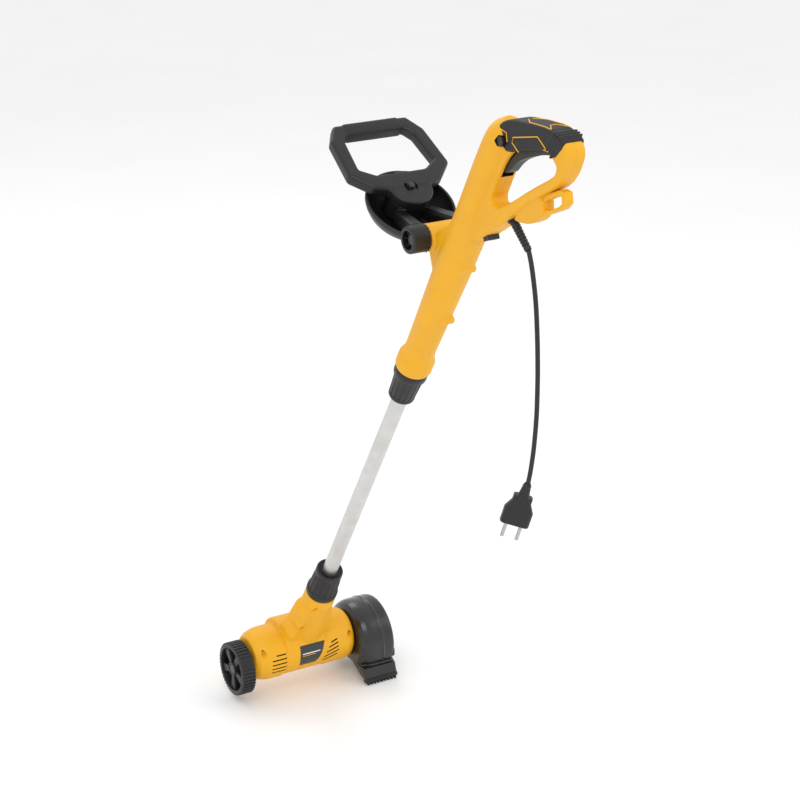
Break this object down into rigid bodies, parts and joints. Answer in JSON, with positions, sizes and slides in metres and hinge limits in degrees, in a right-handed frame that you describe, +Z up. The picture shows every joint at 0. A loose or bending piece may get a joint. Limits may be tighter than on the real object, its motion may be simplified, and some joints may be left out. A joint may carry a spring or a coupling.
{
  "type": "electric lawn edger",
  "caption": "Corded long-shaft surface brush and edger: trigger grip, swivelling front handle, sliding aluminium pole, motor head with guide wheel and guarded rotary brush",
  "frame": {"origin": "middle of the rear grip", "axes": "X runs along the motor from the guide wheel to the brush guard, Y points away from the operator, Z is up"},
  "size_m": [0.2525, 0.7453, 1.0021],
  "materials": {
    "yellow_plastic": "fine grained moulded plastic",
    "black_plastic": "satin moulded plastic",
    "soft_rubber": "soft grained elastomer",
    "aluminium": "brushed lengthways",
    "steel": "plated",
    "copper": "enamelled winding",
    "brass": "turned",
    "label_film": "blank printed film",
    "wire_bristles": "crimped wire"
  },
  "bodies": {
    "handle": {"handle_shell_left": "yellow_plastic", "handle_shell_right": "yellow_plastic", "grip_overmould": "soft_rubber", "shell_screws": "steel", "switch_body": "black_plastic", "trigger_pin": "steel", "trigger_spring": "steel", "cord_hook": "yellow_plastic", "strain_relief": "soft_rubber", "cord": "soft_rubber", "plug_body": "black_plastic", "plug_pins": "steel", "pole_collet": "black_plastic"},
    "trigger": {"trigger": "black_plastic"},
    "lock_button": {"lock_button": "black_plastic"},
    "rear_button": {"rear_button": "black_plastic"},
    "upper_collar": {"upper_collar": "black_plastic"},
    "shaft": {"shaft_tube": "aluminium", "tube_lead": "soft_rubber", "head_shell_rear": "yellow_plastic", "head_shell_front": "yellow_plastic", "head_screws": "steel", "label_plate": "label_film", "stator": "steel", "brush_holders": "brass", "motor_bearings": "steel", "gear_plate": "aluminium", "spindle_bearing": "steel", "guard": "black_plastic", "guard_flap": "soft_rubber", "guard_screws": "steel", "wheel_axle": "steel"},
    "lower_collar": {"lower_collar": "black_plastic"},
    "yoke": {"yoke": "black_plastic", "tilt_bolt": "steel", "tilt_nut": "steel", "hand_guard": "black_plastic", "swivel_screw": "black_plastic"},
    "front_handle": {"front_handle": "black_plastic", "front_grip": "soft_rubber"},
    "wheel": {"wheel": "black_plastic"},
    "rotor": {"armature": "copper", "commutator": "copper", "fan": "black_plastic"},
    "spindle": {"spindle": "steel", "spindle_gear": "steel", "brush_hub": "brass", "brush_bristles": "wire_bristles", "spindle_nut": "steel"}
  },
  "joints": [
    {"name": "trigger_pull", "type": "hinge", "parent": "handle", "child": "trigger", "pos_m": [0, -0.04527, -0.0062], "axis": [1, 0, 0], "range_deg": [0, 6], "stiffness_Nm_per_rad": 0.6, "deforming": ["trigger_spring"]},
    {"name": "lock_press", "type": "slide", "parent": "handle", "child": "lock_button", "axis": [1, 0, 0], "range_m": [0, 0.003], "stiffness_N_per_m": 600},
    {"name": "rear_press", "type": "slide", "parent": "handle", "child": "rear_button", "axis": [0, 0.3746, 0.9272], "range_m": [0, 0.002], "stiffness_N_per_m": 600},
    {"name": "pole_slide", "type": "slide", "parent": "handle", "child": "shaft", "axis": [0, -0.515, 0.8572], "range_m": [-0.05, 0.14]},
    {"name": "upper_collar_turn", "type": "hinge", "parent": "handle", "child": "upper_collar", "pos_m": [0, 0.29146, -0.39186], "axis": [0, -0.515, 0.8572], "range_deg": [0, 90]},
    {"name": "lower_collar_turn", "type": "hinge", "parent": "shaft", "child": "lower_collar", "pos_m": [0, 0.52322, -0.77758], "axis": [0, -0.515, 0.8572], "range_deg": [0, 90]},
    {"name": "front_handle_tilt", "type": "hinge", "parent": "handle", "child": "yoke", "pos_m": [0, 0.21097, -0.16956], "axis": [1, 0, 0], "range_deg": [-35, 15]},
    {"name": "front_handle_swivel", "type": "hinge", "parent": "yoke", "child": "front_handle", "pos_m": [0, 0.28443, -0.12776], "axis": [0, -0.515, 0.8572], "range_deg": [-45, 45]},
    {"name": "wheel_spin", "type": "hinge", "parent": "shaft", "child": "wheel", "pos_m": [-0.1075, 0.60563, -0.92913], "axis": [1, 0, 0], "continuous": true},
    {"name": "spindle_spin", "type": "hinge", "parent": "shaft", "child": "spindle", "pos_m": [0.1, 0.60563, -0.92913], "axis": [1, 0, 0], "continuous": true},
    {"name": "rotor_spin", "type": "hinge", "parent": "shaft", "child": "rotor", "pos_m": [0, 0.60563, -0.91473], "axis": [1, 0, 0], "continuous": true}
  ],
  "couplings": [
    {"joint": "rotor_spin", "follows": "spindle_spin", "ratio": -2}
  ]
}
